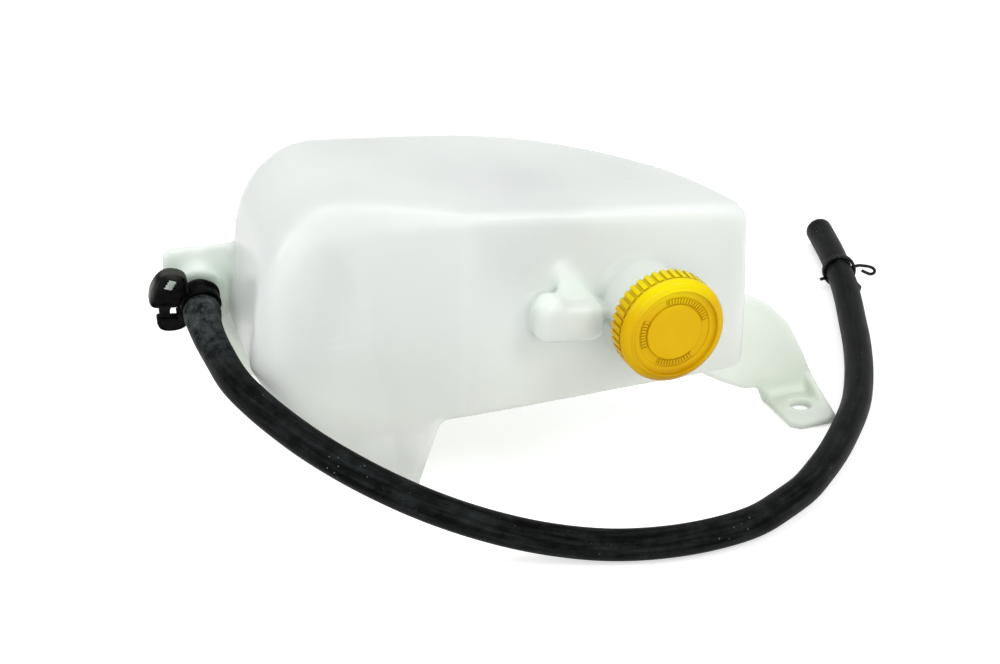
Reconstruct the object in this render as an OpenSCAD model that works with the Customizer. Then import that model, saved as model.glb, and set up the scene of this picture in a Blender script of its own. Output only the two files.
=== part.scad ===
// Coolant expansion tank with its screw cap, overflow hose and two hose clamps.
// X runs along the front wall, Y runs back and Z is up.
// The origin is the middle of the flat underside of the sump.

/* [Tank shell] */
// Front wall of the tank, as a place on Y
face_y = -50; // [-55:1:-45]
// Depth of the tank from the front wall to the back wall
tank_d = 117; // [108:1:126]
// Right end of the tank, as a place on X
tank_right = 189; // [180:1:198]
// Left wall of the tank at the front, as a place on X
tank_left = -74; // [-78:1:-70]
// How far that wall draws in towards the back
left_toe = 6; // [0:1:9]
// Height of the top over the origin
top_h = 157; // [148:1:166]
// Fall of the top towards the right end, in degrees
top_slope = 7.2; // [4:0.2:9]
// Height of the shallow right part's underside
belly_h = 40; // [34:1:46]
// Wall thickness of the blown shell
wall = 2.5; // [1.8:0.1:3.2]
// Lean of the left wall, in degrees
left_lean = 7.5; // [4:0.5:10]
// How far the left front panel lies behind the front wall
panel_step = 12; // [6:1:16]
// Place on X where the left panel starts to come forward
step_start = -13; // [-22:1:-6]
// Place on X where it meets the front wall
step_end = 29; // [22:1:36]
// Corner radius at the right end of the front wall
right_corner_r = 8; // [7:1:12]
// Corner radius between the left wall and the left panel
left_corner_r = 15; // [10:1:18]
// Corner radius between the left wall and the back
back_corner_r = 34; // [28:1:40]
// Edge width of the top along the left wall
top_left_r = 40; // [30:1:44]
// Edge width of the top along the left panel
top_panel_r = 14; // [8:1:18]
// Edge width of the top along the front wall
top_front_r = 5; // [4:0.5:6]
// Edge width of the top along the back and the right end
top_back_r = 9; // [7:1:12]
// Edge radius round the underside of the right part
belly_r = 5; // [4:0.5:6]

/* [Sump] */
// Height at which the left wall starts to cut in under the tank
cut_h = 65; // [56:1:68]
// Slope of that cut from upright, in degrees
cut_slope = 45; // [38:1:47]
// Right wall of the sump at its top, as a place on X
sump_top_x = 21; // [18:1:25]
// Right wall of the sump at its foot, as a place on X
sump_foot_x = 8; // [6:1:12]
// Depth of the sump's foot
sump_foot_d = 100; // [90:1:106]
// Edge radius of the sump's foot
sump_foot_r = 4; // [3:0.5:5]
// Fillet between the sump's right wall and the underside
sump_fillet = 5; // [3:0.5:7]

/* [Filler neck and cap] */
// Place of the neck on X
neck_x = 123; // [115:1:131]
// Height of the neck's axis
neck_z = 94.5; // [90:0.5:98]
// Outer radius of the neck
neck_r = 21; // [19:0.5:22]
// Length of the neck in front of the front wall
neck_l = 41; // [34:1:46]
// Wall of the neck
neck_wall = 2.4; // [2:0.1:3]
// Radius over the cap's grip ribs
cap_r = 27.6; // [26.6:0.2:29]
// Height of the cap's skirt and top together
cap_h = 17; // [15:0.5:20]
// Thickness of the cap's top
cap_top = 3.2; // [3:0.1:4]
// Number of grip ribs round the cap
rib_count = 40; // [30:1:48]
// Free space all round between the neck and the inside of the cap
cap_gap = 3; // [2.6:0.1:3.4]
// Thickness of the sealing ring
seal_t = 1.6; // [1.2:0.1:2]
// Free space between the sealing ring and the neck's mouth
seal_gap = 0.2; // [0.1:0.05:0.3]

/* [Locating lug] */
// Left end of the lug, as a place on X
lug_x = 63; // [59:1:67]
// Length of the lug along X
lug_l = 37; // [32:1:38]
// Height of the lug's middle at its left end
lug_z = 94; // [90:1:98]
// Height of the lug's face
lug_h = 21; // [17:1:24]
// How far the lug stands out of the front wall
lug_out = 16; // [12:1:20]

/* [Right foot] */
// Place of the fixing hole on X
foot_hole_x = 228; // [224:1:232]
// Place of the fixing hole on Y
foot_hole_y = -37; // [-40:1:-35]
// Radius of the fixing hole
foot_hole_r = 5.5; // [4.5:0.25:6.5]
// Width of the foot pad along X
pad_w = 29; // [27:1:31]
// Length of the foot pad along Y
pad_l = 39; // [37:1:42]
// Thickness of the pinched foot
foot_t = 4; // [3:0.25:5]
// Height of the rim round the fixing hole
rim_h = 1; // [0.6:0.1:1.6]
// Height of the turned up edge at the foot's right side
lip_h = 13; // [9:1:14]

/* [Left flange and spigot] */
// Left edge of the flange, as a place on X
flange_left = -98; // [-102:1:-95]
// Height of the flange's top edge
flange_top = 114; // [108:1:120]
// Thickness of the pinched flange
flange_t = 4; // [3:0.25:5]
// Distance of the flange's front side from the back wall
flange_back = 22; // [18:1:26]
// Place of the spigot on X
spigot_x = -81; // [-83:1:-79]
// Height of the spigot's root
spigot_z = 92; // [89:1:94]
// Turn of the spigot to the left, in degrees
spigot_turn = 8; // [5:1:12]
// Drop of the spigot, in degrees
spigot_drop = 20; // [16:1:24]
// Outer radius of the spigot
spigot_r = 5; // [4.8:0.1:5.4]
// Radius of the bore through the spigot
spigot_bore_r = 3; // [2.5:0.1:3.4]
// Length of the spigot in front of the flange
spigot_l = 22; // [18:1:24]

/* [Hose and clamps] */
// Outer radius of the hose
hose_r = 8; // [7.6:0.1:8.2]
// Radius of the hose's bore
hose_bore_r = 4.75; // [4.4:0.05:5]
// Length of the bore at the free end
hose_bore_l = 25; // [20:1:30]
// Distance of the ratchet clamp's middle from the flange
ratchet_at = 10; // [9.5:0.5:13]
// Width of the ratchet clamp's band
ratchet_w = 9; // [7:0.5:10]
// Thickness of the ratchet clamp's band
ratchet_band = 2; // [1.6:0.1:2.6]
// Radius of the spring clamp's wire
wire_r = 0.8; // [0.6:0.05:1]
// Distance of the spring clamp from the hose's free end
spring_at = 62; // [50:1:70]

/* [Hidden] */
$fn = 72;
tank_colour = [0.88, 0.91, 0.88];
cap_colour = [0.96, 0.80, 0.05];
rubber_colour = [0.09, 0.09, 0.10];
clamp_colour = [0.05, 0.05, 0.055];

back_y = face_y + tank_d;
panel_y = face_y + panel_step;
lean_foot_z = 70;
curve_steps = 16;
// The back is a quarter ellipse from the back wall to the right end.
curve_x = 52;
curve_y = face_y - 14;

function lerp(a, b, t) = a + (b - a) * t;
function ramp(v, a, b) = max(0, min(1, (v - a) / (b - a)));
function arc(cx, cy, r, from, to, steps) =
    [for (i = [0:steps]) let (a = lerp(from, to, i / steps)) [cx + r * cos(a), cy + r * sin(a)]];

// Plan of the tank, anticlockwise from the left end of the front wall. The right run bounds the
// shallow right part and the left run bounds the part over the sump.
function right_run(right, front, back, corner) =
    let (a = right - curve_x, b = back - curve_y, start = asin((front + corner - curve_y) / b),
         cx = curve_x + a * cos(start) - corner)
    concat(
        [for (i = [0:2]) [lerp(step_end, cx, i / 3), front]],
        arc(cx, front + corner, corner, -90, -18, 4),
        [for (i = [0:curve_steps]) let (t = lerp(start, 90, i / curve_steps))
            [curve_x + a * cos(t), curve_y + b * sin(t)]],
        [[step_end, back]]);
function left_run(left, front, panel, back, left_corner, back_corner) = concat(
    [[(step_end + left + left_toe + back_corner) / 2, back]],
    arc(left + left_toe + back_corner, back - back_corner, back_corner, 90, 180, 8),
    [[left + left_toe / 2, (back - back_corner + panel + left_corner) / 2]],
    arc(left + left_corner, panel + left_corner, left_corner, 180, 270, 5),
    [[lerp(left + left_corner, step_start, 0.6), panel], [step_start, panel - 0.5]],
    [[(step_start + step_end) / 2, (panel + front) / 2]]);
function wall_plan(w) = concat(
    right_run(tank_right - w, face_y + w, back_y - w, right_corner_r - w),
    left_run(tank_left + w, face_y + w, panel_y + w, back_y - w, left_corner_r - w, back_corner_r - w));
top_plan = concat(
    right_run(tank_right - top_back_r, face_y + top_front_r, back_y - top_back_r, 4),
    left_run(tank_left + top_left_r, face_y + top_front_r + 2, panel_y + top_panel_r, back_y - top_back_r,
        left_corner_r - 3, back_corner_r - 12));
plan = wall_plan(0);
right_n = len(right_run(tank_right, face_y, back_y, right_corner_r));
plan_n = len(plan);
function is_right(i) = i < right_n;

// Outward direction at each point of a closed ring
function outward(ring, i) =
    let (n = len(ring), a = ring[(i + n - 1) % n], b = ring[(i + 1) % n], d = [b.x - a.x, b.y - a.y])
    [d.y, -d.x] / norm(d);
function top_z(x) = top_h - x * tan(top_slope);
// Shift of a wall point at a height: the left wall leans
function lean_x(i, z) = max(0, -outward(plan, i).x) * tan(left_lean) * (z - lean_foot_z);
// Under the cut the points of the left run close up towards the sump's right wall
function cut_x(x, z) =
    let (k = (x - tank_left) / (step_end - tank_left), s = 1 - ramp(z, 0, belly_h),
         left = tank_left + max(0, cut_h - z) * tan(cut_slope),
         right = step_end - s * (step_end - sump_foot_x + 8.5))
    lerp(left, right, k);
function wall_point(i, z, w) =
    let (p = wall_plan(w)[i], x = p.x + lean_x(i, z))
    [is_right(i) || z > cut_h ? x : cut_x(x, z), p.y];

// Walls of the sump under the belly: s runs from 0 at the belly to 1 at the foot
foot_front = -sump_foot_d / 2;
foot_back = sump_foot_d / 2;
sump_corner = 5;
function sump_left(i, s) =
    let (p = wall_point(i, belly_h * (1 - s), 0), k = (p.y - panel_y) / (back_y - panel_y))
    [p.x, lerp(p.y, lerp(foot_front + 1, foot_back, k), s)];
function sump_right(i, s) =
    let (t = i / (right_n - 1), u = max(0, abs(2 * t - 1) - 0.6) / 0.4,
         front = lerp(face_y + 3, foot_front, s), back = lerp(back_y - 1, foot_back, s))
    [lerp(sump_top_x, sump_foot_x, s) - sump_corner * u * u, lerp(front, back, t)];
function sump_ring(s) = [for (i = [0:plan_n - 1]) is_right(i) ? sump_right(i, s) : sump_left(i, s)];
// A ring moved inwards by d and set at the height z
function inset_ring(ring, d, z) =
    [for (i = [0:len(ring) - 1]) let (n = outward(ring, i)) [ring[i].x - n.x * d, ring[i].y - n.y * d, z]];

// Rings of the shell from the top to the foot; w is how far the surface lies inside the outer one
function top_ring(a, w) =
    [for (i = [0:plan_n - 1])
        let (r = norm(wall_plan(w)[i] - top_plan[i]), z = top_z(top_plan[i].x) - w - r * (1 - cos(a)),
             p = lerp(top_plan[i] + [lean_x(i, z), 0], wall_point(i, z, w), sin(a)))
        [p.x, p.y, top_z(p.x) - w - r * (1 - cos(a))]];
function belly_edge(w) = max(belly_r - w, 1.5);
function wall_ring(f, w) =
    [for (i = [0:plan_n - 1])
        let (r = norm(wall_plan(w)[i] - top_plan[i]),
             z = lerp(top_z(top_plan[i].x) - w - r, is_right(i) ? belly_h + w + belly_edge(w) : cut_h, f),
             p = wall_point(i, z, w))
        [p.x, p.y, z]];
function belly_ring(a, w) =
    [for (i = [0:plan_n - 1])
        let (r = belly_edge(w), n = outward(plan, i),
             z = belly_h + w + (is_right(i) ? r * (1 - sin(a)) : lerp(r, 1.5, a / 90)),
             p = wall_point(i, z, w), d = is_right(i) ? r * (1 - cos(a)) : 0)
        [p.x - n.x * d, p.y - n.y * d, z]];
function junction_ring(a, w) =
    let (r = sump_fillet + w, ring = inset_ring(sump_ring(0), w, 0))
    [for (i = [0:plan_n - 1])
        let (p = ring[i], drop = belly_h + w - r * a / 90)
        is_right(i) ? [p.x + sump_fillet + w - r * sin(a), p.y, belly_h - sump_fillet + r * cos(a)]
                    : [p.x + cut_x(p.x, drop) - cut_x(p.x, belly_h), p.y, drop]];
function sump_level(z, w) = inset_ring(sump_ring(1 - z / belly_h), w, z);
function foot_ring(a, w) =
    let (r = max(sump_foot_r - w, 1.5))
    inset_ring(sump_ring(1), w + r * (1 - cos(a)), w + r * (1 - sin(a)));
function shell_rings(w) = concat(
    [for (a = [0:18:90]) top_ring(a, w)],
    [for (f = [0.4, 0.8]) wall_ring(f, w)],
    [for (a = [0, 45, 90]) belly_ring(a, w)],
    [for (a = [0, 45, 90]) junction_ring(a, w)],
    [sump_level(belly_h / 2, w)],
    [for (a = [0, 45, 90]) foot_ring(a, w)]);

// A closed skin through rings of equally many points
module ring_skin(rings) {
    n = len(rings[0]);
    m = len(rings);
    polyhedron(
        points = [for (r = rings, p = r) p],
        faces = concat(
            [[for (i = [n - 1:-1:0]) i]],
            [for (k = [0:m - 2], i = [0:n - 1]) let (j = (i + 1) % n) [k * n + i, k * n + j, (k + 1) * n + j]],
            [for (k = [0:m - 2], i = [0:n - 1]) let (j = (i + 1) % n) [k * n + i, (k + 1) * n + j, (k + 1) * n + i]],
            [[for (i = [0:n - 1]) (m - 1) * n + i]]),
        convexity = 6);
}

// Filler neck, drawn from the front wall outwards
mouth_y = face_y - neck_l;
module on_neck(y) translate([neck_x, y, neck_z]) rotate([90, 0, 0]) children();
root_r = neck_r + 3;
root_l = 4;
module neck_outside() {
    on_neck(face_y + wall / 2) cylinder(r = neck_r, h = neck_l + wall / 2);
    on_neck(face_y + wall / 2) cylinder(r1 = root_r + 1, r2 = neck_r, h = root_l + wall / 2);
}
module neck_bore() on_neck(face_y + 2 * wall) cylinder(r = neck_r - neck_wall, h = neck_l + 3 * wall);

// Locating lug: a blown block that slopes with the top, with a web over it
lug_round = 6;
module lug_block(w) {
    r = lug_round - w;
    drop = lug_l * tan(top_slope);
    out_y = face_y - lug_out + lug_round;
    reach = lug_h / 2 - lug_round;
    hull() for (x = [lug_x + lug_round, lug_x + lug_l - lug_round], z = [-reach, reach])
        for (y = [out_y, face_y + 1 + w])
            translate([x, y, lug_z + z - drop * (x - lug_x) / lug_l]) sphere(r = r, $fn = 24);
}
module lug_web() {
    foot_z = lug_z + lug_h / 2 - 5;
    hull() {
        translate([lug_x + 18, face_y + 1, foot_z + 18]) sphere(r = 3, $fn = 16);
        translate([lug_x + 16, face_y - lug_out / 2, foot_z]) sphere(r = 3, $fn = 16);
        translate([lug_x + lug_l - 3, face_y - lug_out / 2, foot_z - 4]) sphere(r = 3, $fn = 16);
        translate([lug_x + lug_l - 3, face_y + 1, foot_z - 2]) sphere(r = 3, $fn = 16);
    }
}
module lug_knob() translate([lug_x + 8, face_y - lug_out / 2, lug_z + lug_h / 2 - 4]) sphere(r = 8, $fn = 32);

// Right foot: a pinched web behind, a flat pad on the ground and a turned up edge
pad_right = foot_hole_x + pad_w / 2;
pad_left = pad_right - pad_w;
pad_back = foot_hole_y + pad_l / 2;
pad_front = pad_back - pad_l;
pad_corner = 9;
web_y = pad_back - foot_t;
module foot_pad() {
    linear_extrude(foot_t) hull() {
        translate([pad_left, pad_back - 1]) square([pad_w, 1]);
        for (x = [pad_left + pad_corner, pad_right - pad_corner])
            translate([x, pad_front + pad_corner]) circle(r = pad_corner);
    }
    translate([foot_hole_x, foot_hole_y, 0]) cylinder(r = foot_hole_r + 3, h = foot_t + rim_h);
}
module foot_web() {
    translate([0, web_y + foot_t, 0]) rotate([90, 0, 0]) linear_extrude(foot_t) polygon([
        [tank_right - 23.5, belly_h + 8], [tank_right - 23.5, belly_h - 6], [pad_left - 33, 21],
        [pad_left - 24, 15.5], [pad_left - 16, 11.5], [pad_left - 3, 9], [pad_left, 0], [pad_right, 0],
        [pad_right, lip_h], [pad_right - 6, lip_h + 14], [pad_right - 15, lip_h + 32],
        [pad_right - 29, belly_h + 20], [tank_right + 7.5, belly_h + 30], [tank_right - 6, belly_h + 34],
        [tank_right - 20, belly_h + 34]]);
}
module foot_lip() {
    hull() {
        translate([pad_right - foot_t, web_y - 1, 0]) cube([foot_t, foot_t, lip_h]);
        translate([pad_right - foot_t, pad_front + pad_corner, 0]) cube([foot_t, 6, foot_t]);
    }
}
module foot_fold() {
    hull() {
        translate([pad_left, web_y - 5, foot_t - 1]) cube([pad_w, 6, 1]);
        translate([pad_left, web_y - 0.5, foot_t + 4]) cube([pad_w, 1, 1]);
    }
}

// Left flange: the pinched edge that carries the spigot and runs down beside the sump
spigot_axis = [-sin(spigot_turn) * cos(spigot_drop), -cos(spigot_turn) * cos(spigot_drop), -sin(spigot_drop)];
flange_y = back_y - flange_back;
spigot_root = [spigot_x, flange_y, spigot_z];
duct_r = 3.2;
duct_wall = 2.6;
duct_top = [spigot_x, flange_y + flange_t + 1, spigot_z];
duct_foot = [tank_left + 30, flange_y, belly_h - 6];
duct_l = norm(duct_foot - duct_top);
module along(axis) rotate([0, acos(axis.z / norm(axis)), atan2(axis.y, axis.x)]) children();
module on_spigot(d) translate(spigot_root + d * spigot_axis)
    rotate([0, 0, -spigot_turn]) rotate([90 + spigot_drop, 0, 0]) children();
module flange_plate() {
    corner = 10;
    translate([0, flange_y + flange_t, 0]) rotate([90, 0, 0]) linear_extrude(flange_t) {
        hull() {
            translate([flange_left + 6, flange_top - 6]) circle(r = 6);
            translate([flange_left + corner, spigot_z - 1]) circle(r = corner);
            translate([tank_left + left_toe, spigot_z - 26]) square([10, flange_top - spigot_z + 24]);
        }
        polygon([[flange_left + 18, spigot_z - 15], [tank_left + 10, cut_h - 24], [tank_left + 33, cut_h - 41],
            [tank_left + 42, cut_h - 20], [tank_left + 24, spigot_z - 22]]);
    }
}
module spigot_outside() {
    on_spigot(-4) cylinder(r = spigot_r + 8, h = 6);
    on_spigot(-4) cylinder(r = spigot_r, h = spigot_l + 4);
    on_spigot(spigot_l - 4) cylinder(r1 = spigot_r + 0.5, r2 = spigot_r - 0.4, h = 4);
    translate(duct_top) sphere(r = duct_r + duct_wall);
    translate(duct_top) along(duct_foot - duct_top) cylinder(r = duct_r + duct_wall, h = duct_l);
}
module spigot_bore() {
    on_spigot(-flange_t - 1) cylinder(r = spigot_bore_r, h = spigot_l + flange_t + 3);
    translate(duct_top) along(duct_foot - duct_top) cylinder(r = duct_r, h = duct_l + 8);
    translate(duct_top) sphere(r = duct_r);
}

module tank_body() color(tank_colour) difference() {
    union() {
        ring_skin(shell_rings(0));
        neck_outside();
        lug_block(0);
        lug_knob();
        lug_web();
        foot_pad();
        foot_web();
        foot_lip();
        foot_fold();
        flange_plate();
        spigot_outside();
    }
    ring_skin(shell_rings(wall));
    lug_block(wall);
    neck_bore();
    spigot_bore();
    translate([foot_hole_x, foot_hole_y, -1]) cylinder(r = foot_hole_r, h = foot_t + rim_h + 2);
}

// Screw cap, drawn with its skirt's open edge at 0 and its face upwards
cap_inner_r = neck_r + cap_gap;
rib_root_r = cap_r - 1;
rib_l = 8.5;
cap_face_y = mouth_y - seal_gap - seal_t - cap_top;
module filler_cap() color(cap_colour) on_neck(cap_face_y + cap_h) difference() {
    union() {
        rotate_extrude() polygon([
            [0, 0], [rib_root_r, 0], [rib_root_r, rib_l + 1], [cap_r - 0.3, rib_l + 1.6], [cap_r, cap_h - 5.5],
            [cap_r - 0.6, cap_h - 3], [cap_r - 1.8, cap_h - 1.2], [cap_r - 3.2, cap_h - 0.3],
            [cap_r - 4.2, cap_h], [cap_r - 4.8, cap_h - 0.3], [cap_r - 5.2, cap_h - 1],
            [19.2, cap_h - 1], [18.8, cap_h - 1.8], [14.8, cap_h - 1.8], [14.4, cap_h - 1.1], [0, cap_h - 1.1]]);
        for (i = [0:rib_count - 1]) rotate([0, 0, i * 360 / rib_count])
            translate([rib_root_r - 0.4, -1.35, 0]) cube([1.3, 2.7, rib_l]);
    }
    translate([0, 0, -1]) cylinder(r = cap_inner_r, h = cap_h - cap_top + 1);
}

// Flat sealing ring that lies in the cap over the neck's mouth
module cap_seal() color(rubber_colour) on_neck(mouth_y - seal_gap) difference() {
    cylinder(r = cap_inner_r - 0.3, h = seal_t - 0.05);
    translate([0, 0, -1]) cylinder(r = neck_r - neck_wall - 2, h = seal_t + 2);
}

// Hose route, in round numbers: off the spigot, down past the sump, then along the ground
hose_route = concat(
    [for (d = [2.3, 13, 26]) spigot_root + d * spigot_axis],
    [[-83, -7, 74.5], [-81, -31, 72], [-75, -46, 67.5], [-68, -59, 63], [-60, -72, 58.5], [-43, -92, 50],
     [-17, -107, 36], [13, -117, 22], [46, -126, 11], [72, -136, 8], [98, -143.5, 8], [126, -145, 8],
     [150, -141, 8], [168, -132.5, 8], [186, -122, 8], [201, -109.5, 8], [214.5, -97, 8], [234, -76, 8],
     [253, -52.5, 8], [270, -25, 8], [284, 2, 8], [300, 38, 8.3], [314, 72, 9.4], [323, 98, 10],
     [330, 119, 9.3], [336, 139, 8.4], [340, 154, 8.4]]);
hose_n = len(hose_route);
hose_end = hose_route[hose_n - 1];
hose_end_axis = (hose_end - hose_route[hose_n - 2]) / norm(hose_end - hose_route[hose_n - 2]);
hose_mid_axis = (hose_end - hose_route[hose_n - 4]) / norm(hose_end - hose_route[hose_n - 4]);
hose_sides = 12;
module overflow_hose() color(rubber_colour) difference() {
    ring_skin([for (k = [hose_n - 1:-1:0])
        let (t0 = hose_route[min(k + 1, hose_n - 1)] - hose_route[max(k - 1, 0)], t = t0 / norm(t0),
             side0 = cross(t, [0, 0, 1]), side = side0 / norm(side0), up = cross(side, t))
        [for (i = [0:hose_sides - 1]) let (a = -i * 360 / hose_sides)
            hose_route[k] + hose_r * (cos(a) * side + sin(a) * up)]]);
    on_spigot(-1) cylinder(r = hose_bore_r, h = 27);
    translate(hose_end - hose_bore_l * hose_end_axis) along(hose_end_axis) cylinder(r = hose_bore_r, h = hose_bore_l + 2);
}

// Moulded ratchet clamp: a band with two finger pads and a toothed tongue between them
band_in = hose_r + 0.1;
band_out = band_in + ratchet_band;
module ratchet_clamp() color(clamp_colour) on_spigot(ratchet_at - ratchet_w / 2) rotate([0, 0, -10]) {
    difference() {
        union() {
            cylinder(r = band_out, h = ratchet_w);
            linear_extrude(ratchet_w) hull() {
                translate([-band_out + 1, 0]) square([2, 7]);
                translate([-16, 11]) circle(r = 4);
                translate([-22, 9]) circle(r = 4);
                translate([-25, -1]) circle(r = 2);
                translate([-12, -2]) circle(r = 2);
            }
            linear_extrude(ratchet_w) hull() {
                translate([-band_out + 2, -9]) square([2, 5]);
                translate([-9, -16]) circle(r = 3);
                translate([-19, -17]) circle(r = 2.5);
            }
            linear_extrude(ratchet_w) polygon([[-21, -17], [-23.5, 0], [-20, 0], [-17, -17]]);
        }
        translate([0, 0, -1]) cylinder(r = band_in, h = ratchet_w + 2);
        translate([-21, 1.5, -1]) cube([6, 5.5, ratchet_w + 2]);
        translate([-17.5, -9, -1]) cube([5.5, 5, ratchet_w + 2]);
    }
    for (i = [0:4]) translate([-21.5, 1.7 + i * 1.05, 0]) cube([1.4, 0.6, ratchet_w]);
}

// Wire spring clamp: a ring of wire round the hose, with a tail that ends in a finger loop
turn_r = hose_r + wire_r + 0.3;
tail_l = 9;
loop_r = 2.6;
module wire_ring(r) rotate_extrude() translate([r, 0]) circle(r = wire_r, $fn = 32);
module spring_clamp() color(clamp_colour)
    translate(hose_end - spring_at * hose_mid_axis) along(hose_mid_axis) {
        wire_ring(turn_r);
        translate([0, -turn_r, 0]) rotate([90, 0, 0]) cylinder(r = wire_r, h = tail_l, $fn = 32);
        translate([0, -turn_r - tail_l - loop_r, 0]) wire_ring(loop_r);
    }

tank_body();
filler_cap();
cap_seal();
overflow_hose();
ratchet_clamp();
spring_clamp();
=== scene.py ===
# Coolant expansion tank with its screw cap, overflow hose and two hose clamps.
# All sizes are in metres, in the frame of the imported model.
import math

import bpy
import bmesh
from mathutils import Matrix, Vector, noise


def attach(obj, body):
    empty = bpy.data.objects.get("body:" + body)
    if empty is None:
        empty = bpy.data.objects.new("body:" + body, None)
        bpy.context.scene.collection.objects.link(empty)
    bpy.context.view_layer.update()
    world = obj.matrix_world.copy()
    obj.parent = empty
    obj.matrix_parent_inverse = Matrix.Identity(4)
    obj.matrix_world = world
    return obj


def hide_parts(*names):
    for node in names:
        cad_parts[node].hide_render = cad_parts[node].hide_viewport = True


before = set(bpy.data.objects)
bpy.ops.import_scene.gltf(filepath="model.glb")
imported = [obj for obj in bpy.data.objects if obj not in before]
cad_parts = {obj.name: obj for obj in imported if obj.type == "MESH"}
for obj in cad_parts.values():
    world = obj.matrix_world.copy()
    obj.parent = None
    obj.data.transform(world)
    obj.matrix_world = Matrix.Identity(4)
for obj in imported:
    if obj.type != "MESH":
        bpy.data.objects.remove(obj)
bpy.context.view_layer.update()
bpy.ops.object.select_all(action="DESELECT")


# Studio. A wide sheet of white paper lies under the object, and a pale room stands round it. Soft lamps
# stand on the right, low in front, on the left and above. The camera looks down from the front left.
camera_place, camera_look = (-0.3224, -1.0159, 0.6144), Vector((0.3193, 0.8318, -0.4540))
bpy.ops.object.camera_add(location=camera_place)
camera = bpy.context.object
camera.rotation_euler = camera_look.to_track_quat("-Z", "Y").to_euler()
camera.data.sensor_width = 36
camera.data.lens = 84.13
bpy.context.scene.camera = camera


def new_finish(name):
    """A new material, with its nodes, its links and the shader that is its skin."""
    finish = bpy.data.materials.new(name)
    finish.use_nodes = True
    tree = finish.node_tree
    return finish, tree.nodes, tree.links, tree.nodes["Principled BSDF"]


def set_sockets(node, values):
    """Sets a node's own sockets by name and gives the node back."""
    for socket, value in values.items():
        node.inputs[socket].default_value = value
    return node


def combined(operation, first, second):
    """One number out of two, as their product or the larger of them."""
    result = nodes.new("ShaderNodeMath")
    result.operation = operation
    links.new(first, result.inputs[0])
    links.new(second, result.inputs[1])
    return result.outputs[0]


def run_between(value, start, end, low=0.0, high=1.0, soft=False):
    """A number that goes from low to high while a value goes from start to end."""
    run = set_sockets(nodes.new("ShaderNodeMapRange"), {
        "From Min": start, "From Max": end, "To Min": low, "To Max": high})
    run.interpolation_type = "SMOOTHSTEP" if soft else "LINEAR"
    links.new(value, run.inputs["Value"])
    return run.outputs["Result"]


def seen_by_camera():
    """1 for what the camera sees, straight or in gloss or through a clear piece, and 0 for the rest."""
    ray = nodes.new("ShaderNodeLightPath")
    seen = combined("MAXIMUM", ray.outputs["Is Camera Ray"], ray.outputs["Is Glossy Ray"])
    return combined("MAXIMUM", seen, ray.outputs["Is Transmission Ray"])


paper_z = -0.0004
bpy.ops.mesh.primitive_plane_add(size=9, location=(0.1, 0.2, paper_z))
paper = bpy.context.object
paper.name = "paper_floor"
white_paper, nodes, links, sheet = new_finish("white_paper")
set_sockets(sheet, {"Base Color": (0.80, 0.80, 0.80, 1), "Roughness": 0.9, "Specular IOR Level": 0.1})
glow = set_sockets(nodes.new("ShaderNodeEmission"), {"Strength": 0.55})
both = nodes.new("ShaderNodeAddShader")
links.new(sheet.outputs[0], both.inputs[0])
links.new(glow.outputs[0], both.inputs[1])
choice = nodes.new("ShaderNodeMixShader")
links.new(seen_by_camera(), choice.inputs[0])
links.new(sheet.outputs[0], choice.inputs[1])
links.new(both.outputs[0], choice.inputs[2])
links.new(choice.outputs[0], nodes["Material Output"].inputs["Surface"])
paper.data.materials.append(white_paper)

room = bpy.data.worlds.new("pale_room")
bpy.context.scene.world = room
room.use_nodes = True
nodes, links = room.node_tree.nodes, room.node_tree.links
room_light, room_seen = 0.60, 1.0
backdrop = set_sockets(nodes["Background"], {"Color": (1, 1, 1, 1)})
links.new(run_between(seen_by_camera(), 0.0, 1.0, room_light, room_seen), backdrop.inputs["Strength"])

for name, place, aim, size, power in (
        ("soft_lamp_right", (0.70, -0.85, 1.05), (0.1, 0, 0.08), 0.45, 4.3),
        ("soft_lamp_front", (0.05, -1.60, 0.38), (0.05, 0, 0.08), 1.0, 8.3),
        ("soft_lamp_left", (-1.00, -0.15, 0.75), (0.0, 0, 0.08), 0.6, 3.6),
        ("soft_lamp_top", (0.15, 0.25, 1.35), (0.1, 0, 0.08), 0.7, 3.7)):
    bpy.ops.object.light_add(type="AREA", location=place)
    lamp = bpy.context.object
    lamp.name = name
    lamp.rotation_euler = (Vector(aim) - Vector(place)).to_track_quat("-Z", "Y").to_euler()
    lamp.data.size = size
    lamp.data.energy = power
bpy.context.scene.view_settings.view_transform = "Standard"


# Tank. One piece of natural polypropylene, blown in a two-part mould, so its neck, lug, foot, flange
# and spigot are one skin with it. The wall varies in thickness, and every edge is soft.
face_y, tank_right = -0.050, 0.189
neck_x, neck_z, neck_r, mouth_y = 0.123, 0.0945, 0.021, -0.091
skin_step, most_triangles = 0.00135, 176000
wide_swell, fine_swell = 0.0008, 0.00016


def lone(piece):
    """Leaves one piece selected and active."""
    bpy.ops.object.select_all(action="DESELECT")
    bpy.context.view_layer.objects.active = piece
    piece.select_set(True)


tank = bpy.data.objects.new("expansion_tank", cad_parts["tank_body"].data.copy())
bpy.context.collection.objects.link(tank)
tank.data.materials.clear()
lone(tank)
bpy.ops.object.mode_set(mode="EDIT")
bpy.ops.mesh.select_all(action="SELECT")
bpy.ops.mesh.remove_doubles(threshold=0.000002)
bpy.ops.object.mode_set(mode="OBJECT")
blown = tank.modifiers.new("blown skin", "REMESH")
blown.mode = "VOXEL"
blown.voxel_size = skin_step
blown.use_smooth_shade = True
bpy.ops.object.modifier_apply(modifier=blown.name)


def ease_in(value, start, end):
    """0 at the start, 1 at the end, with a soft run between them."""
    t = min(max((value - start) / (end - start), 0.0), 1.0)
    return t * t * (3 - 2 * t)


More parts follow.
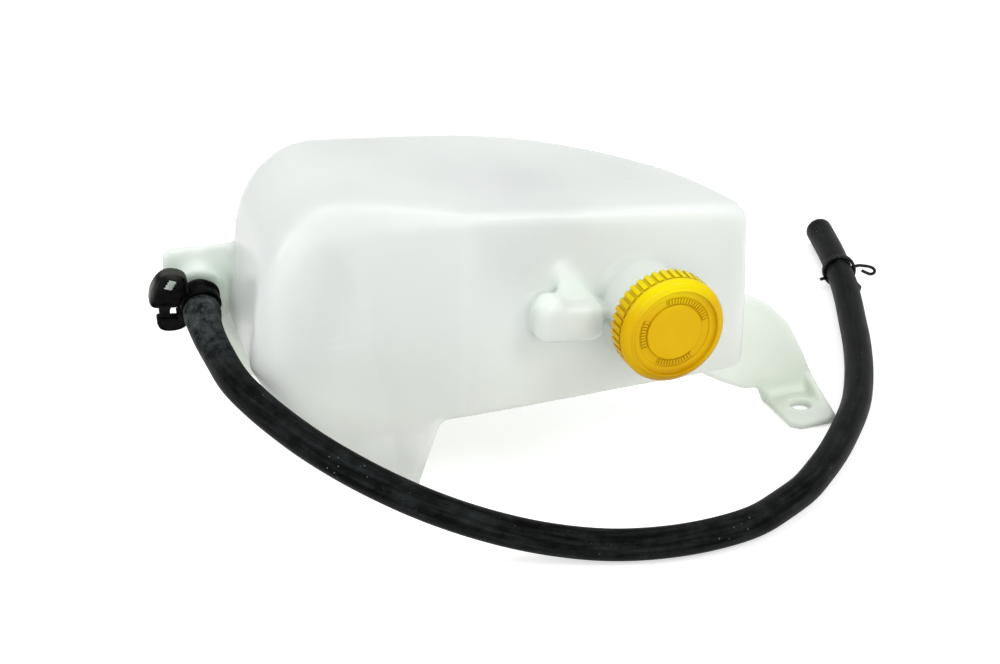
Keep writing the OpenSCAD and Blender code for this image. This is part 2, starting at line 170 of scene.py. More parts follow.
def blown_softness(p):
    """How freely the skin was drawn at a point: fully on the big walls, hardly on the pinched plates."""
    off_neck = math.hypot(p.x - neck_x, p.z - neck_z)
    if p.y < face_y - 0.001 and off_neck < 0.027:  # neck
        return 0.12
    if p.y < face_y - 0.001 and 0.055 < p.x < 0.108 and p.z > 0.07:  # lug
        return 0.45
    if abs(p.x - tank_right) < 0.009 and p.z < 0.09:  # right end, where the foot's web leaves it
        return 0.8
    if p.x > 0.186 and p.z < 0.095 or p.z < 0.036 and p.x > 0.10:  # foot
        return 0.10
    if -0.025 < p.y < -0.012 and p.x > 0.16 and p.z < 0.08:  # web below the right end
        return 0.2
    if 0.028 < p.y < 0.06 and p.x < -0.062 and p.z < 0.118 or p.x < -0.0785:  # flange and spigot
        return 0.10
    step = (ease_in(p.x, -0.034, -0.018) * ease_in(p.x, 0.056, 0.030)
            * ease_in(p.y, -0.024, -0.034) * ease_in(p.z, 0.150, 0.135))
    corner = ease_in(p.x, -0.038, -0.050) * ease_in(p.y, -0.012, -0.022) * ease_in(p.z, 0.150, 0.128)
    return 1.0 - 0.72 * step - 0.45 * corner


def smooth_skin(name, times, group=""):
    """Softens the tank's skin, all over or by the weights of a vertex group."""
    smooth = tank.modifiers.new(name, "SMOOTH")
    smooth.factor = 0.5
    smooth.iterations = times
    smooth.vertex_group = group
    bpy.ops.object.modifier_apply(modifier=smooth.name)


soft = tank.vertex_groups.new(name="softness")
for v in tank.data.vertices:
    soft.add([v.index], blown_softness(v.co), "REPLACE")
smooth_skin("drawn smooth", 34, "softness")
# The mould's two upper front corners are drawn wider still.
shoulder = tank.vertex_groups.new(name="shoulder")
for v in tank.data.vertices:
    left = ease_in(v.co.x, 0.055, 0.0) * ease_in(v.co.z, 0.100, 0.125) * ease_in(v.co.y, 0.030, -0.010)
    right = ease_in(v.co.x, 0.160, 0.178) * ease_in(v.co.z, 0.086, 0.104) * ease_in(v.co.y, 0.030, 0.0)
    reach = max(left, 0.5 * right)
    if reach > 0:
        shoulder.add([v.index], reach, "REPLACE")
smooth_skin("wide shoulder", 90, "shoulder")
smooth_skin("evened", 2)

# The big walls sink and swell a little between their edges as the plastic cools.
outward = [v.normal.copy() for v in tank.data.vertices]
for v, out in zip(tank.data.vertices, outward):
    ease = blown_softness(v.co)
    if ease > 0.4:
        swell = noise.noise(v.co * 14 + Vector((3.1, 0.4, 7.7))) * wide_swell
        swell += noise.noise(v.co * 42) * fine_swell
        v.co += out * swell * ease
tank.vertex_groups.clear()
thinned = tank.modifiers.new("thinned", "DECIMATE")
thinned.ratio = min(1.0, most_triangles / (2 * len(tank.data.polygons)))
bpy.ops.object.modifier_apply(modifier=thinned.name)


def built(name, points, faces):
    """A new piece made point by point."""
    mesh = bpy.data.meshes.new(name)
    mesh.from_pydata(points, [], faces)
    piece = bpy.data.objects.new(name, mesh)
    bpy.context.collection.objects.link(piece)
    return piece


def turn_outwards(piece):
    """Turns all the faces of a closed piece outwards."""
    lone(piece)
    bpy.ops.object.mode_set(mode="EDIT")
    bpy.ops.mesh.select_all(action="SELECT")
    bpy.ops.mesh.normals_make_consistent(inside=False)
    bpy.ops.object.mode_set(mode="OBJECT")


def thread_ridge(name, foot_r, crest_r, start, pitch, turns, width):
    """A screw thread as one closed ridge round Z that fades out at both ends."""
    steps = int(turns * 72)
    points, faces = [], []
    for i in range(steps + 1):
        turn = 2 * math.pi * turns * i / steps
        fade = min(1.0, 12 * i / steps, 12 * (steps - i) / steps)
        crest = foot_r + (crest_r - foot_r) * max(fade, 0.02)
        z = start + pitch * turns * i / steps
        for r, dz in ((foot_r, -width / 2), (crest, -width / 6), (crest, width / 6), (foot_r, width / 2)):
            points.append((r * math.cos(turn), r * math.sin(turn), z + dz))
        if i:
            a, b = 4 * (i - 1), 4 * i
            faces += [(a + k, b + k, b + (k + 1) % 4, a + (k + 1) % 4) for k in range(4)]
    faces += [(0, 1, 2, 3), tuple(4 * steps + k for k in (3, 2, 1, 0))]
    ridge = built(name, points, faces)
    turn_outwards(ridge)
    return ridge


def set_in_place(piece, place):
    """Moves a finished piece to its place and keeps that place in its mesh."""
    piece.matrix_world = place
    lone(piece)
    bpy.ops.object.transform_apply(location=True, rotation=True, scale=True)


def facing_front(y):
    """A place on the neck's axis where a piece's Z points to the front."""
    return Matrix.Translation((neck_x, y, neck_z)) @ Matrix.Rotation(math.pi / 2, 4, "X")


neck_thread = thread_ridge("neck_thread", foot_r=neck_r - 0.0004, crest_r=0.0223, start=0.0015,
                           pitch=0.004, turns=2.2, width=0.0026)
set_in_place(neck_thread, facing_front(mouth_y + 0.012))
lone(tank)
neck_thread.select_set(True)
bpy.ops.object.join()
bpy.ops.object.shade_smooth_by_angle(angle=math.radians(62))

# The pinched plates, the lug and the neck are painted darker, a painted shade: with little hollow behind
# them they let less light through than the lit walls.
pinched = tank.data.attributes.new("pinched", "FLOAT", "POINT")
for v in tank.data.vertices:
    p = v.co
    on_foot = ease_in(p.x, 0.190, 0.212) * ease_in(p.z, 0.110, 0.090)
    on_flange = 0.75 * ease_in(p.x, -0.078, -0.088)
    off_neck = math.hypot(p.x - neck_x, p.z - neck_z)
    on_lug = ease_in(p.y, face_y, face_y - 0.004) * (0.55 + 0.30 * ease_in(off_neck, 0.026, 0.031))
    pinched.data[v.index].value = max(on_foot, on_flange, on_lug)


def mottle(place, scale, detail=2, rough=0.5):
    """Uneven patches over a surface, from broad clouds to fine grain by their scale."""
    patches = set_sockets(nodes.new("ShaderNodeTexNoise"), {
        "Scale": scale, "Detail": detail, "Roughness": rough})
    links.new(place, patches.inputs["Vector"])
    return patches.outputs["Fac"]


def stretched(place, scale, rotation=(0, 0, 0)):
    """The same place with its pattern drawn out and turned."""
    drawn_out = set_sockets(nodes.new("ShaderNodeMapping"), {"Rotation": rotation, "Scale": scale})
    links.new(place, drawn_out.inputs["Vector"])
    return drawn_out.outputs["Vector"]


def height_of(place):
    """The Z of a place."""
    parts = nodes.new("ShaderNodeSeparateXYZ")
    links.new(place, parts.inputs["Vector"])
    return parts.outputs["Z"]


def carried(name):
    """What the mesh carries at each point under a name."""
    attribute = nodes.new("ShaderNodeAttribute")
    attribute.attribute_name = name
    return attribute


def two_tones(amount, start, start_colour, end, end_colour):
    """A colour that goes from one tone to another."""
    ramp = nodes.new("ShaderNodeValToRGB")
    for stop, position, colour in zip(ramp.color_ramp.elements, (start, end), (start_colour, end_colour)):
        stop.position = position
        stop.color = (*colour, 1)
    links.new(amount, ramp.inputs["Fac"])
    return ramp.outputs["Color"]


def laid_over(under, colour, amount, blend="MIX"):
    """A colour laid over another by an amount."""
    layer = nodes.new("ShaderNodeMix")
    layer.data_type = "RGBA"
    layer.blend_type = blend
    layer.inputs["B"].default_value = (*colour, 1)
    links.new(amount, layer.inputs["Factor"])
    links.new(under, layer.inputs["A"])
    return layer.outputs["Result"]


def relief(height, strength, distance):
    """Small bumps and pits on the skin."""
    bump = set_sockets(nodes.new("ShaderNodeBump"), {"Strength": strength, "Distance": distance})
    links.new(height, bump.inputs["Height"])
    links.new(bump.outputs["Normal"], skin.inputs["Normal"])


milky, nodes, links, skin = new_finish("natural_polypropylene")
set_sockets(skin, {
    "Roughness": 0.25, "IOR": 1.5, "Specular IOR Level": 0.24, "Subsurface Weight": 0.6,
    "Subsurface Radius": (0.95, 1.0, 0.9), "Subsurface Scale": 0.012})
where = nodes.new("ShaderNodeTexCoord").outputs["Object"]
tint = two_tones(mottle(where, 11, detail=3), 0.3, (0.812, 0.893, 0.820), 0.72, (0.860, 0.933, 0.866))
# The lower half is painted a trace yellower, a painted tint of the light that passes through the plastic
# there.
low_down = run_between(height_of(where), 0.115, 0.035, soft=True)
painted_low_tint = laid_over(tint, (1.0, 0.996, 0.945), low_down, "MULTIPLY")
# Fine scratches run along the walls in patches, painted lighter, partly as painted highlight lines.
fine_line = run_between(mottle(stretched(where, (1, 16, 16), (0, 0, math.radians(-12))), 52), 0.60, 0.70)
streak_patches = run_between(mottle(where, 21), 0.58, 0.70, high=0.55)
scratches_and_glints = laid_over(painted_low_tint, (0.95, 0.98, 0.96), combined("MULTIPLY", fine_line, streak_patches))
# The pinched plates, lug and neck get their painted shade here.
shaded_plates = laid_over(scratches_and_glints, (0.86, 0.87, 0.87), carried("pinched").outputs["Fac"], "MULTIPLY")
links.new(shaded_plates, skin.inputs["Base Color"])
relief(mottle(where, 900), strength=0.10, distance=0.0002)
tank.data.materials.append(milky)
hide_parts("tank_body")
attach(tank, "tank")


# Sealing ring. A flat ring of black rubber that lies in the cap and closes on the neck's mouth. It is
# cut from sheet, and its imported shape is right, so it only gets a dull, slightly bloomed finish.
seal_rubber, nodes, links, skin = new_finish("seal_rubber_look")
set_sockets(skin, {"Roughness": 0.62})
where = nodes.new("ShaderNodeTexCoord").outputs["Object"]
bloom = two_tones(mottle(where, 260), 0.0, (0.012, 0.012, 0.013), 1.0, (0.045, 0.045, 0.048))
links.new(bloom, skin.inputs["Base Color"])
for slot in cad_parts["cap_seal"].material_slots:
    slot.material = seal_rubber


# Cap. A moulded yellow screw cap: forty grip ribs round the skirt, a domed shoulder, a thin bead and
# a sunk face with a band of plain raised ticks round a flat disc. It screws onto the neck's thread.
rib_count, rib_h, rib_depth, tick_h = 40, 0.0102, 0.0010, 0.0007
cap_sides, cap_inner_r, cap_y = 5 * rib_count, 0.0240, -0.079
cap_profile = [
    (0.0262, 0.0), (0.0266, 0.0004), (0.0266, rib_h), (0.0266, 0.0108), (0.0272, 0.0113),
    (0.0276, 0.0117), (0.0276, 0.0124), (0.0274, 0.0133), (0.0269, 0.0142), (0.0261, 0.0150),
    (0.0252, 0.0156), (0.0243, 0.0160), (0.0238, 0.0161), (0.0235, 0.0165), (0.0233, 0.0170),
    (0.0230, 0.0173), (0.0227, 0.0172), (0.0225, 0.0167), (0.0224, 0.0154), (0.0220, 0.0151),
    (0.0194, 0.0151), (0.0190, 0.0150), (0.0189, 0.0145), (0.0180, 0.0144), (0.0154, 0.0144),
    (0.0148, 0.0145), (0.0147, 0.0153), (0.0143, 0.0156), (0.0100, 0.0156), (0.0050, 0.0156),
    (0.0012, 0.0156)]
roof_profile = [(0.0240, 0.0045), (0.0240, 0.0130), (0.0236, 0.0136), (0.0100, 0.0137), (0.0012, 0.0137)]


def draw_up(profile, r):
    """Draws the selected ring of edges from height 0 along a profile of radius and height."""
    z = 0.0
    for next_r, next_z in profile:
        bpy.ops.mesh.extrude_edges_move(TRANSFORM_OT_translate={"value": (0, 0, next_z - z)})
        bpy.ops.transform.resize(value=(next_r / r, next_r / r, 1))
        r, z = next_r, next_z


bpy.ops.object.select_all(action="DESELECT")
bpy.ops.mesh.primitive_circle_add(vertices=cap_sides, radius=cap_inner_r, fill_type="NOTHING",
                                  location=(0, 0, 0))
cap = bpy.context.object
cap.name = "screw_cap"
bpy.ops.object.mode_set(mode="EDIT")
bpy.ops.mesh.select_all(action="SELECT")
draw_up(cap_profile, cap_inner_r)
bpy.ops.mesh.edge_face_add()
bpy.ops.mesh.select_all(action="DESELECT")
bpy.ops.mesh.select_mode(type="VERT")
bpy.ops.object.mode_set(mode="OBJECT")

# The inside of the skirt goes up from its open edge to a flat roof.
for v in cap.data.vertices[:cap_sides]:
    v.select = True
bpy.ops.object.mode_set(mode="EDIT")
draw_up(roof_profile, cap_inner_r)
bpy.ops.mesh.edge_face_add()
bpy.ops.mesh.select_all(action="SELECT")
bpy.ops.mesh.normals_make_consistent(inside=False)
bpy.ops.mesh.select_all(action="DESELECT")


def raise_cap_faces(low_r, high_r, low_z, high_z, wanted, height):
    """Raises the cap's faces inside a band, where their place round the cap is wanted."""
    work = bmesh.from_edit_mesh(cap.data)
    work.faces.ensure_lookup_table()
    bpy.ops.mesh.select_mode(type="FACE")
    for f in work.faces:
        c = f.calc_center_median()
        r = math.hypot(c.x, c.y)
        step = math.floor((math.degrees(math.atan2(c.y, c.x)) % 360) / (360 / cap_sides))
        f.select_set(low_r < r < high_r and low_z < c.z < high_z and wanted(step))
    bmesh.update_edit_mesh(cap.data)
    bpy.ops.mesh.extrude_region_shrink_fatten(TRANSFORM_OT_shrink_fatten={"value": height})


raise_cap_faces(low_r=0.0262, high_r=0.0275, low_z=0.0003, high_z=rib_h + 0.0001,
                wanted=lambda step: step % 5 < 3, height=rib_depth)
raise_cap_faces(low_r=0.0155, high_r=0.0179, low_z=0.0143, high_z=0.0146, height=tick_h,
                wanted=lambda step: step % 3 < 2 and (
                    6 < step < 58 or 82 < step < 112 or 132 < step < 170))
bpy.ops.object.mode_set(mode="OBJECT")


def round_edges(piece, width, sharp):
    """Rounds the edges of the active piece that are sharper than an angle in degrees."""
    rounded = piece.modifiers.new("rounded edges", "BEVEL")
    rounded.width = width
    rounded.segments = 2
    rounded.limit_method = "ANGLE"
    rounded.angle_limit = math.radians(sharp)
    bpy.ops.object.modifier_apply(modifier=rounded.name)


round_edges(cap, 0.00015, 38)
cap_thread = thread_ridge("cap_thread", foot_r=0.0242, crest_r=0.0227, start=0.0030,
                          pitch=0.004, turns=1.6, width=0.0022)
lone(cap)
cap_thread.select_set(True)
bpy.ops.object.join()
set_in_place(cap, facing_front(cap_y))
bpy.ops.object.shade_smooth_by_angle(angle=math.radians(35))

yellow, nodes, links, skin = new_finish("yellow_cap_plastic")
set_sockets(skin, {
    "Roughness": 0.14, "Specular IOR Level": 0.03, "Coat Weight": 0.12, "Coat Roughness": 0.10,
    "Subsurface Weight": 0.10, "Subsurface Radius": (1.0, 0.6, 0.05), "Subsurface Scale": 0.001})
where = nodes.new("ShaderNodeTexCoord").outputs["Object"]
tint = two_tones(mottle(where, 60, detail=3), 0.25, (0.66, 0.405, 0.0), 0.75, (0.70, 0.425, 0.0))
# The upper side is painted lighter, as painted light from above; the lower side is painted a deeper
# amber, as painted shade; and the corners are painted darker, as painted crevice shade.
painted_low_shade = laid_over(tint, (0.52, 0.27, 0.0), run_between(height_of(where), 0.082, 0.068, soft=True))
painted_top_light = laid_over(painted_low_shade, (0.80, 0.66, 0.0), run_between(height_of(where), 0.104, 0.121, soft=True))
crevice = set_sockets(nodes.new("ShaderNodeAmbientOcclusion"), {"Distance": 0.004})
painted_crevice_shade = run_between(crevice.outputs["AO"], 0.90, 0.35, high=0.6)
links.new(laid_over(painted_top_light, (0.34, 0.15, 0.0), painted_crevice_shade), skin.inputs["Base Color"])
relief(mottle(where, 1400), strength=0.06, distance=0.0001)
cap.data.materials.append(yellow)
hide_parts("filler_cap")
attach(cap, "cap")


# Ratchet clamp. One moulding of black nylon round the hose on the spigot: a band, a D-shaped thumb pad
# with a ribbed rim and a toothed window, a smaller pad under it, and a ribbed tongue that joins the two.
# Squeezing the pads together closes the band tooth by tooth.
spigot_root = Vector((-0.081, 0.045, 0.092))
spigot_axis = Vector((-0.13078, -0.93055, -0.34202))
clamp_place = (Matrix.Translation(spigot_root + 0.0055 * spigot_axis)
               @ Matrix.Rotation(math.radians(-8), 4, "Z")
               @ Matrix.Rotation(math.radians(110), 4, "X") @ Matrix.Rotation(math.radians(-10), 4, "Z"))
pad_depth, pad_z, tongue_depth, tongue_z = 0.0046, 0.0028, 0.0036, 0.0033
band_bore, serration = 0.0081, 0.00022


def raised_plate(name, outline, z, height):
    """A plate drawn from its outline and raised to its height."""
    plate = built(name, [(x, y, z) for x, y in outline], [list(range(len(outline)))])
    lone(plate)
    bpy.ops.object.mode_set(mode="EDIT")
    bpy.ops.mesh.select_all(action="SELECT")
    bpy.ops.mesh.extrude_region_move(TRANSFORM_OT_translate={"value": (0, 0, height)})
    bpy.ops.mesh.select_all(action="SELECT")
    bpy.ops.mesh.normals_make_consistent(inside=False)
    bpy.ops.object.mode_set(mode="OBJECT")
    return plate


def clamp_pad(name, outline, depth, rim, sink, serrated):
    """A pad of the clamp: a flat plate with a rim all round, sunk on both sides."""
    points = []
    for k in range(len(outline)):
        a, b, c, d = (Vector(outline[(k + j) % len(outline)]) for j in (-1, 0, 1, 2))
        for t in (0, 0.2, 0.4, 0.6, 0.8):
            points.append(0.5 * (2 * b + (c - a) * t + (2 * a - 5 * b + 4 * c - d) * t * t
                                 + (3 * b - a - 3 * c + d) * t ** 3))
    fine = []
    for k, p in enumerate(points):
        along = (points[(k + 1) % len(points)] - points[k - 1]).normalized()
        out = Vector((along.y, -along.x)) * (serration if k % 2 and serrated(p) else 0)
        fine.append((p.x + out.x, p.y + out.y))
    pad = raised_plate(name, fine, 0, depth)
    bpy.ops.object.mode_set(mode="EDIT")
    bpy.ops.mesh.select_mode(type="FACE")
    work = bmesh.from_edit_mesh(pad.data)
    for f in work.faces:
        f.select_set(abs(f.normal.z) > 0.9)
    bmesh.update_edit_mesh(pad.data)
    bpy.ops.mesh.inset(thickness=rim, use_boundary=True)
    bpy.ops.transform.resize(value=(1, 1, (depth - 2 * sink) / depth), center_override=(0, 0, depth / 2))
    bpy.ops.object.mode_set(mode="OBJECT")
    return pad


thumb = clamp_pad("thumb_pad", [
    (-0.0268, 0.0036), (-0.0269, 0.0085), (-0.0258, 0.0135), (-0.0236, 0.0180), (-0.0206, 0.0204),
    (-0.0170, 0.0208), (-0.0132, 0.0198), (-0.0102, 0.0172), (-0.0084, 0.0122), (-0.0074, 0.0070),
    (-0.0078, 0.0025), (-0.0098, -0.0014), (-0.0130, -0.0031), (-0.0180, -0.0036), (-0.0226, -0.0038),
    (-0.0254, -0.0022), (-0.0265, 0.0006)],
    depth=pad_depth, rim=0.0011, sink=0.0012, serrated=lambda p: p.y > 0.0140 or p.x < -0.0252)
lower = clamp_pad("lower_pad", [
    (-0.0203, -0.0143), (-0.0199, -0.0122), (-0.0173, -0.0115), (-0.0139, -0.0116), (-0.0096, -0.0112),
    (-0.0062, -0.0098), (-0.0046, -0.0138), (-0.0052, -0.0168), (-0.0082, -0.0192), (-0.0126, -0.0203),
    (-0.0160, -0.0200), (-0.0186, -0.0182)],
    depth=pad_depth, rim=0.0009, sink=0.0008, serrated=lambda p: p.y < -0.0165)

bpy.ops.object.select_all(action="DESELECT")
bpy.ops.mesh.primitive_circle_add(vertices=96, radius=band_bore, fill_type="NOTHING", location=(0, 0, 0))
band = bpy.context.object
band.name = "ratchet_clamp_moulding"
bpy.ops.object.mode_set(mode="EDIT")
bpy.ops.mesh.select_all(action="SELECT")
draw_up([
    (0.0100, 0.0), (0.0105, 0.0005), (0.0105, 0.0026), (0.0099, 0.0030), (0.0099, 0.0058),
    (0.0105, 0.0062), (0.0105, 0.0084), (0.0100, 0.0090), (band_bore, 0.0090), (band_bore, 0.0)], band_bore)
bpy.ops.mesh.select_all(action="SELECT")
bpy.ops.mesh.remove_doubles(threshold=0.00001)
bpy.ops.mesh.normals_make_consistent(inside=False)
bpy.ops.object.mode_set(mode="OBJECT")

# The thumb pad's window has the ratchet's teeth in both its sides.
tooth, tooth_pitch, left_x, right_x, foot_y = 0.0007, 0.0010, -0.0031, 0.0025, -0.0040
window_middle, window_lean = (-0.0166, 0.0104, 0.004), math.radians(-16)
edge = [(left_x + (tooth if k % 2 else 0.0), foot_y + tooth_pitch * k) for k in range(9)]
edge += [(right_x - (0.0 if k % 2 else tooth), foot_y + tooth_pitch * k) for k in range(8, -1, -1)]
window = raised_plate("window", edge, -0.02, 0.04)
window.rotation_euler = (0, 0, window_lean)
window.location = window_middle
lone(thumb)
cut = thumb.modifiers.new("window", "BOOLEAN")
cut.operation = "DIFFERENCE"
cut.object = window
cut.solver = "EXACT"
bpy.ops.object.modifier_apply(modifier=cut.name)
bpy.data.objects.remove(window)

tongue = clamp_pad("tongue", [
    (-0.0148, -0.0020), (-0.0196, -0.0020), (-0.0201, -0.0060), (-0.0195, -0.0095), (-0.0178, -0.0126),
    (-0.0139, -0.0126), (-0.0143, -0.0090), (-0.0148, -0.0055)],
    depth=tongue_depth, rim=0.0005, sink=0.0003, serrated=lambda p: p.x < -0.0165 and p.y < -0.004)
# A short block joins the lower pad to the band.
hinge_size, hinge_lean = (0.0040, 0.0044, 0.0060), math.radians(35)
hinge_middle = (-0.0082, -0.0094, 0.0048)
bpy.ops.object.select_all(action="DESELECT")
bpy.ops.mesh.primitive_cube_add(size=1, location=(0, 0, 0))
hinge = bpy.context.object
hinge.scale = hinge_size
hinge.rotation_euler = (0, 0, hinge_lean)
hinge.location = hinge_middle
for piece, lift in ((thumb, pad_z), (lower, pad_z), (tongue, tongue_z)):
    piece.location = (0, 0, lift)
lone(band)
for piece in (thumb, lower, tongue, hinge):
    piece.select_set(True)
bpy.ops.object.join()
clamp = bpy.context.object
round_edges(clamp, 0.00018, 50)
# The far rim and the ribbed top of the thumb pad are painted grey, a painted sheen where they catch the
# light.
painted_rim_sheen = clamp.data.attributes.new("painted_rim_sheen", "FLOAT", "POINT")
for v in clamp.data.vertices:
    far_rim, ribbed_top = ease_in(v.co.x, -0.0246, -0.0264), ease_in(v.co.y, 0.0165, 0.0195)
    painted_rim_sheen.data[v.index].value = max(far_rim, 0.35 * ribbed_top)
set_in_place(clamp, clamp_place)
bpy.ops.object.shade_smooth_by_angle(angle=math.radians(35))

nylon, nodes, links, skin = new_finish("black_nylon")
set_sockets(skin, {"Roughness": 0.30, "Specular IOR Level": 0.03})
where = nodes.new("ShaderNodeTexCoord").outputs["Object"]
haze = mottle(where, 220, detail=4)
tint = two_tones(haze, 0.35, (0.0006, 0.0006, 0.0006), 0.8, (0.006, 0.006, 0.006))
# The rim's painted sheen is laid on here.
greyed_with_sheen = laid_over(tint, (0.14, 0.145, 0.13), carried("painted_rim_sheen").outputs["Fac"])
links.new(greyed_with_sheen, skin.inputs["Base Color"])
relief(haze, strength=0.2, distance=0.0002)
clamp.data.materials.append(nylon)
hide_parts("ratchet_clamp")
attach(clamp, "tank")


# Spring clamp. Round spring wire, black lacquered, wound two and a half times round the hose. One end
# is bent out to the right into a finger loop, and the other stands out a little on the left.
hose_end = Vector((0.340, 0.154, 0.0084))
clamp_axis = Vector((0.017, 0.056, -0.0016)).normalized()
clamp_side = Vector((0.957, -0.2905, 0.0))
clamp_side = (clamp_side - clamp_side.dot(clamp_axis) * clamp_axis).normalized()
clamp_up = clamp_side.cross(clamp_axis).normalized()
clamp_middle = hose_end - 0.062 * clamp_axis
coil_r, coil_half, wire_r = 0.0091, 0.0024, 0.00095


def tube(name, rings, sides):
    """A round tube or wire through its rings of points, closed at both ends."""
    points = [p for ring in rings for p in ring]
    faces = []
    for n in range(0, len(points) - sides, sides):
        faces += [(n + j, n + (j + 1) % sides, n + sides + (j + 1) % sides, n + sides + j)
                  for j in range(sides)]
    faces += [tuple(range(sides - 1, -1, -1)), tuple(range(len(points) - sides, len(points)))]
    return built(name, points, faces)


def eased_line(points, step):
    """A smooth line through given points, cut into even steps."""
    h = [(b - a).length for a, b in zip(points, points[1:])]
    tangents = []
    for k in range(len(points)):
        if k in (0, len(points) - 1):
            j = min(k, len(h) - 1)
            tangents.append((points[j + 1] - points[j]) / h[j])
        else:
            before, after = (points[k] - points[k - 1]) / h[k - 1], (points[k + 1] - points[k]) / h[k]
            tangents.append((before * h[k] + after * h[k - 1]) / (h[k] + h[k - 1]))
    fine = []
    for k in range(len(h)):
        for i in range(24):
            t = i / 24
            fine.append(
                points[k] * (2 * t ** 3 - 3 * t ** 2 + 1) + tangents[k] * h[k] * (t ** 3 - 2 * t ** 2 + t)
                + points[k + 1] * (3 * t ** 2 - 2 * t ** 3) + tangents[k + 1] * h[k] * (t ** 3 - t ** 2))
    fine.append(points[-1])
    total = sum((b - a).length for a, b in zip(fine, fine[1:]))
    count = max(2, round(total / step))
    line, k, gone = [fine[0]], 0, 0.0
    for i in range(1, count):
        wanted = total * i / count
        while gone + (fine[k + 1] - fine[k]).length < wanted:
            gone += (fine[k + 1] - fine[k]).length
            k += 1
        line.append(fine[k].lerp(fine[k + 1], (wanted - gone) / (fine[k + 1] - fine[k]).length))
    return line + [fine[-1]]


wire_points = [(-0.0116, -0.0048, -0.0025), (-0.0105, -0.0042, -coil_half)]
for k in range(1, 90):
    turn = math.radians(200 + 10 * k)
    wire_points.append((coil_r * math.cos(turn), coil_r * math.sin(turn),
                        -coil_half + 2 * coil_half * k / 90))
wire_points += [(a, b, coil_half) for a, b in (
    (0.0100, 0.0012), (0.0120, 0.0016), (0.0155, 0.0013), (0.0190, 0.0006), (0.0214, -0.0006),
    (0.0225, -0.0022), (0.0218, -0.0038), (0.0200, -0.0043), (0.0178, -0.0035), (0.0146, -0.0018))]
wire_line = eased_line(
    [clamp_middle + a * clamp_side + b * clamp_up + c * clamp_axis for a, b, c in wire_points], 0.0008)
wire_sides, wire_rings, side = 16, [], clamp_axis.copy()
for k, p in enumerate(wire_line):
    along = (wire_line[min(k + 1, len(wire_line) - 1)] - wire_line[max(k - 1, 0)]).normalized()
    side = (side - side.dot(along) * along).normalized()
    up = along.cross(side)
    angles = [2 * math.pi * j / wire_sides for j in range(wire_sides)]
    wire_rings.append([p + wire_r * (math.cos(a) * side + math.sin(a) * up) for a in angles])
spring = tube("spring_wire_clamp", wire_rings, wire_sides)
lone(spring)
bpy.ops.object.shade_smooth_by_angle(angle=math.radians(50))

lacquer, nodes, links, skin = new_finish("black_lacquered_wire")
set_sockets(skin, {"Metallic": 0.3, "Specular IOR Level": 0.15})
where = nodes.new("ShaderNodeTexCoord").outputs["Object"]
wear = mottle(where, 700, detail=3)
tint = two_tones(wear, 0.55, (0.008, 0.008, 0.009), 0.80, (0.07, 0.07, 0.072))
links.new(tint, skin.inputs["Base Color"])
links.new(run_between(wear, 0.0, 1.0, 0.25, 0.5), skin.inputs["Roughness"])
spring.data.materials.append(lacquer)
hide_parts("spring_clamp")
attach(spring, "tank")


# Overflow hose. Extruded black rubber, 16 mm over a 9.5 mm bore, pushed on the spigot, where it swells.
# It falls past the sump and lies on the ground round the front to its cut end behind the foot.
hose_r, hose_bore, lip_r, mouth_r, lip, mouth = 0.008, 0.00475, 0.0075, 0.0053, 0.0005, 0.0006
spigot_socket, end_socket, band_edge = 0.026, 0.025, 0.0125
nub_from_end, nub_h, ridge_h = 0.087, 0.0016, 0.00007
route = [
    (-0.0813, 0.0429, 0.0912), (-0.0827, 0.0329, 0.0876), (-0.0844, 0.0208, 0.0831),
    (-0.083, -0.007, 0.0745), (-0.081, -0.031, 0.072), (-0.075, -0.046, 0.0675),
    (-0.068, -0.059, 0.063), (-0.060, -0.072, 0.0585), (-0.043, -0.092, 0.050),
    (-0.017, -0.107, 0.036), (0.013, -0.117, 0.022), (0.046, -0.126, 0.011),
    (0.072, -0.136, 0.008), (0.098, -0.1435, 0.008), (0.126, -0.145, 0.008), (0.150, -0.141, 0.008),
    (0.168, -0.1325, 0.008), (0.186, -0.122, 0.008), (0.201, -0.1095, 0.008), (0.2145, -0.097, 0.008),
    (0.234, -0.076, 0.008), (0.253, -0.0525, 0.008), (0.270, -0.025, 0.008), (0.284, 0.002, 0.008),
    (0.300, 0.038, 0.0083), (0.314, 0.072, 0.0094), (0.323, 0.098, 0.010), (0.330, 0.119, 0.0093),
    (0.336, 0.139, 0.0084), (0.340, 0.154, 0.0084)]
hose_line = eased_line([Vector(p) for p in route], 0.0035)
hose_step = sum((b - a).length for a, b in zip(hose_line, hose_line[1:])) / (len(hose_line) - 1)
hose_length = hose_step * (len(hose_line) - 1)
profile = [(spigot_socket, hose_bore), (mouth, hose_bore), (0.0, mouth_r), (0.0, lip_r), (lip, hose_r)]
for k in range(1, len(hose_line) - 1):
    s = k * hose_step
    # It bulges behind the clamp's band and comes back to its size over the spigot's last centimetre.
    bulge, rest = math.exp(-((s - 0.0175) / 0.0062) ** 2), math.exp(-((s - 0.028) / 0.012) ** 2)
    swell = 0.0015 * bulge + 0.0005 * rest
    profile.append((s, hose_r + (swell if s > band_edge else 0.0)))
profile += [(hose_length - lip, hose_r), (hose_length, lip_r), (hose_length, mouth_r),
            (hose_length - mouth, hose_bore), (hose_length - end_socket, hose_bore)]
around, hose_rings, runs = 48, [], []
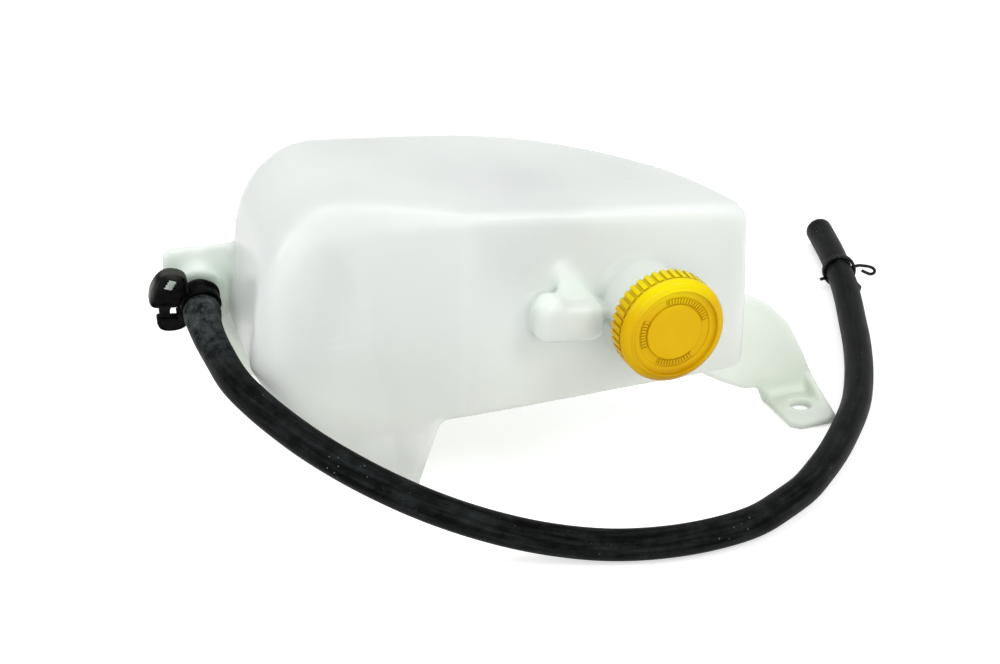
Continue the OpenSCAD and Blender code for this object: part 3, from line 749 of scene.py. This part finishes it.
for s, r in profile:
    at = min(max(s / hose_step, 0), len(hose_line) - 1.001)
    p = hose_line[int(at)].lerp(hose_line[int(at) + 1], at - int(at))
    ahead, behind = min(int(at) + 2, len(hose_line) - 1), max(int(at) - 1, 0)
    along = (hose_line[ahead] - hose_line[behind]).normalized()
    side = along.cross(Vector((0, 0, 1))).normalized()
    up = side.cross(along)
    ring = []
    for j in range(around):
        a = 2 * math.pi * j / around
        ridge = ridge_h * noise.noise(Vector((6 * math.cos(a), 6 * math.sin(a), s * 9)))
        nub = nub_h * math.exp(
            -((s - (hose_length - nub_from_end)) / 0.0022) ** 2 - ((j - 1.5) / 2.0) ** 2)
        reach = r + (ridge + nub if r > 0.0079 else 0)
        ring.append(p + reach * (math.cos(a) * side + math.sin(a) * up))
        runs.append((hose_r * math.cos(a), hose_r * math.sin(a), s))
    hose_rings.append(ring)
hose = tube("overflow_hose_tube", hose_rings, around)
run = hose.data.attributes.new("run", "FLOAT_VECTOR", "POINT")
for k, place in enumerate(runs):
    run.data[k].vector = place
turn_outwards(hose)
bpy.ops.object.shade_smooth_by_angle(angle=math.radians(50))

rubber, nodes, links, skin = new_finish("black_hose_rubber")
set_sockets(skin, {"Specular IOR Level": 0.03})
place = carried("run").outputs["Vector"]
streak = mottle(stretched(place, (1, 1, 0.07)), 420, detail=3)
worn = combined("MULTIPLY", streak, mottle(place, 95, detail=5, rough=0.7))
tint = two_tones(worn, 0.18, (0.0012, 0.0014, 0.0015), 0.50, (0.022, 0.026, 0.026))
# The spigot's end is painted grey in patches: scuffs from being pushed on and pulled off, and partly a
# painted reflection.
at_spigot = run_between(height_of(place), 0.075, 0.014)
scuffs_and_sheen = run_between(mottle(place, 120, detail=5, rough=0.75), 0.40, 0.66)
greyed_with_sheen = laid_over(tint, (0.080, 0.094, 0.096), combined("MULTIPLY", at_spigot, scuffs_and_sheen))
# Specks of dust sit on it here and there.
speck = set_sockets(nodes.new("ShaderNodeTexVoronoi"), {"Scale": 330})
links.new(place, speck.inputs["Vector"])
dust = run_between(speck.outputs["Distance"], 0.16, 0.07)
dusty = combined("MULTIPLY", dust, run_between(mottle(place, 60), 0.55, 0.68))
links.new(laid_over(greyed_with_sheen, (0.13, 0.145, 0.145), dusty), skin.inputs["Base Color"])
links.new(run_between(worn, 0.15, 0.5, 0.36, 0.66), skin.inputs["Roughness"])
relief(streak, strength=0.35, distance=0.0004)
hose.data.materials.append(rubber)
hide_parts("overflow_hose")
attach(hose, "tank")


bpy.context.view_layer.update()
